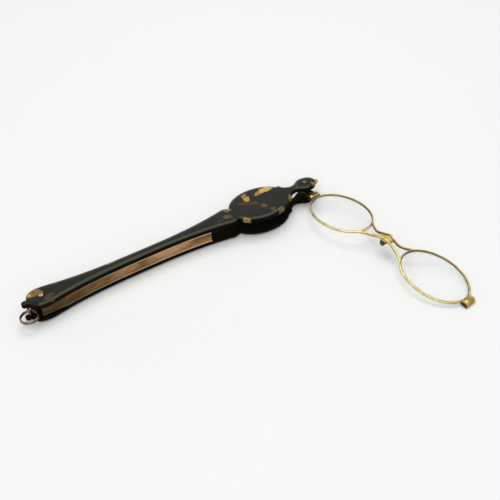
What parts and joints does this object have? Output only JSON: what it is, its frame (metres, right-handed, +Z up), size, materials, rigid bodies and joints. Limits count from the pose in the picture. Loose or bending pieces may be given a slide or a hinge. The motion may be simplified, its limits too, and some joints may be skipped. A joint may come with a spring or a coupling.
{
  "type": "folding lorgnette",
  "caption": "Folding lorgnette: two oval lenses in gilt rims, joined by a bridge hinge, swing out of a slender tortoiseshell handle with a carrying ring at its tail.",
  "frame": {"origin": "on the axis of the head rivet, in the under face of the handle, which lies flat", "axes": "+X along the handle from the tail towards the head, +Y across it to the side away from the open lenses, +Z up through both plates"},
  "size_m": [0.1882, 0.1241, 0.0145],
  "materials": {
    "front_plate": "polished mottled tortoiseshell, nearly black with amber patches",
    "back_plate": "polished mottled tortoiseshell, nearly black with amber patches",
    "handle_core": "dark reddish brown shell, sawn and scraped",
    "near_band": "gilt, reeded across, with bright edges",
    "far_band": "gilt, reeded across, with bright edges",
    "head_rivet": "worn gilt, hammered dome",
    "tail_rivet": "worn gilt, hammered dome",
    "ring_eye": "rosy gilt wire",
    "split_ring": "rosy gilt wire",
    "tang": "gilt, slightly brown",
    "thumb_knob": "gilt, slightly brown",
    "near_block_upper": "bright gilt",
    "near_block_lower": "bright gilt",
    "near_block_screw": "dull gilt, slotted head",
    "near_rim": "bright gilt",
    "near_lens": "clear polished glass",
    "near_arm_left": "bright gilt",
    "near_arm_right": "bright gilt",
    "near_leaf": "bright gilt",
    "hinge_pin": "dull steel",
    "far_leaf": "bright gilt",
    "far_arm_left": "bright gilt",
    "far_arm_right": "bright gilt",
    "far_rim": "bright gilt",
    "far_lens": "clear polished glass",
    "far_block_upper": "bright gilt",
    "far_block_lower": "bright gilt",
    "far_block_screw": "dull gilt, slotted head"
  },
  "bodies": {
    "handle": {"front_plate": "front_plate", "back_plate": "back_plate", "handle_core": "handle_core", "near_band": "near_band", "far_band": "far_band", "head_rivet": "head_rivet", "tail_rivet": "tail_rivet", "ring_eye": "ring_eye"},
    "near_eye": {"tang": "tang", "thumb_knob": "thumb_knob", "near_block_upper": "near_block_upper", "near_block_lower": "near_block_lower", "near_block_screw": "near_block_screw", "near_rim": "near_rim", "near_lens": "near_lens", "near_arm_left": "near_arm_left", "near_arm_right": "near_arm_right", "near_leaf": "near_leaf", "hinge_pin": "hinge_pin"},
    "far_eye": {"far_leaf": "far_leaf", "far_arm_left": "far_arm_left", "far_arm_right": "far_arm_right", "far_rim": "far_rim", "far_lens": "far_lens", "far_block_upper": "far_block_upper", "far_block_lower": "far_block_lower", "far_block_screw": "far_block_screw"},
    "ring": {"split_ring": "split_ring"}
  },
  "joints": [
    {"name": "spectacle_swing", "type": "hinge", "parent": "handle", "child": "near_eye", "pos_m": [0, 0, 0.005], "axis": [0, 0, 1], "range_deg": [-86, 0]},
    {"name": "lens_fold", "type": "hinge", "parent": "near_eye", "child": "far_eye", "pos_m": [0.00716, -0.05878, 0.005], "axis": [0.9898, 0.1426, 0], "range_deg": [0, 170.7]},
    {"name": "ring_swing", "type": "hinge", "parent": "handle", "child": "ring", "pos_m": [-0.1574, -0.00035, 0.00485], "axis": [1, 0, 0], "range_deg": [-24, 20]}
  ]
}
